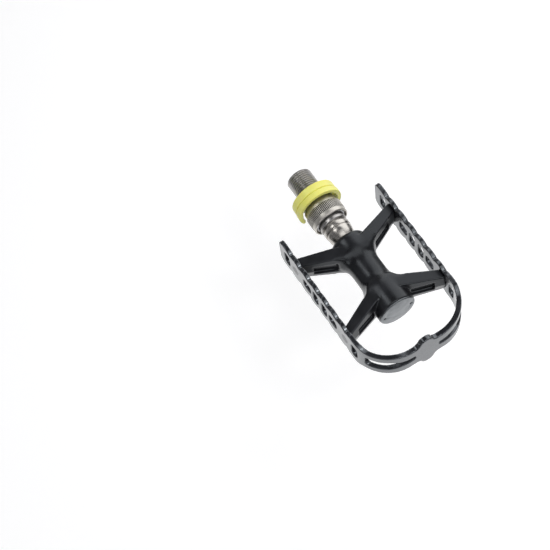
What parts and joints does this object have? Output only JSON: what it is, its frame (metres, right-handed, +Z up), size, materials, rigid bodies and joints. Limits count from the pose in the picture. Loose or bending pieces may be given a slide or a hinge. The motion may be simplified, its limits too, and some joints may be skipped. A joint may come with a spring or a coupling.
{
  "type": "quick-release bicycle pedal",
  "caption": "Double-sided touring pedal: a scalloped cage band on an X-shaped cast body, turning on an axle that unplugs from a crank coupler with a sprung collar and a safety clip.",
  "frame": {"origin": "on the axle's centre line, at the coupler's shoulder that seats on the crank", "axes": "+X outboard along the axle, +Y across the pedal, +Z up out of one tread"},
  "size_m": [0.1206, 0.0614, 0.0254],
  "materials": {
    "turned_steel": "turned",
    "polished_steel": "polished",
    "nickel_plate": "knurled, plated",
    "ball_steel": "mirror",
    "spring_steel": "bright wire",
    "yellow_plastic": "moulded",
    "seal_rubber": "matt",
    "silver_cap": "satin",
    "black_casting": "satin black coat",
    "black_cage": "gloss black coat",
    "rivet_alloy": "black coat"
  },
  "bodies": {
    "spindle": {"crank_coupler": "turned_steel", "axle": "polished_steel", "lock_balls": "ball_steel", "collar_stop_ring": "spring_steel", "collar_spring": "spring_steel", "adjusting_cone": "turned_steel", "lock_washer": "turned_steel", "lock_nut": "turned_steel"},
    "pedal": {"pedal_body": "black_casting", "cage": "black_cage", "cage_rivets": "rivet_alloy", "inner_bearing_cup": "turned_steel", "outer_bearing_cup": "turned_steel", "inner_dust_seal": "seal_rubber", "end_cap": "silver_cap"},
    "collar": {"lock_collar": "nickel_plate"},
    "clip": {"safety_clip": "yellow_plastic"},
    "inner_balls": {"inner_bearing_balls": "ball_steel"},
    "outer_balls": {"outer_bearing_balls": "ball_steel"}
  },
  "joints": [
    {"name": "pedal_spin", "type": "hinge", "parent": "spindle", "child": "pedal", "pos_m": [0.055, 0, 0], "axis": [1, 0, 0], "continuous": true},
    {"name": "collar_slide", "type": "slide", "parent": "spindle", "child": "collar", "axis": [1, 0, 0], "range_m": [-0.0018, 0], "stiffness_N_per_m": 1500, "springref_m": 0.003, "deforming": ["collar_spring"]},
    {"name": "clip_pull", "type": "slide", "parent": "spindle", "child": "clip", "axis": [0, 0, 1], "range_m": [0, 0.03]},
    {"name": "inner_ball_roll", "type": "hinge", "parent": "spindle", "child": "inner_balls", "pos_m": [0.037, 0, 0], "axis": [1, 0, 0], "continuous": true},
    {"name": "outer_ball_roll", "type": "hinge", "parent": "spindle", "child": "outer_balls", "pos_m": [0.07, 0, 0], "axis": [1, 0, 0], "continuous": true}
  ],
  "couplings": [
    {"joint": "inner_ball_roll", "follows": "pedal_spin", "ratio": 0.595},
    {"joint": "outer_ball_roll", "follows": "pedal_spin", "ratio": 0.595}
  ]
}
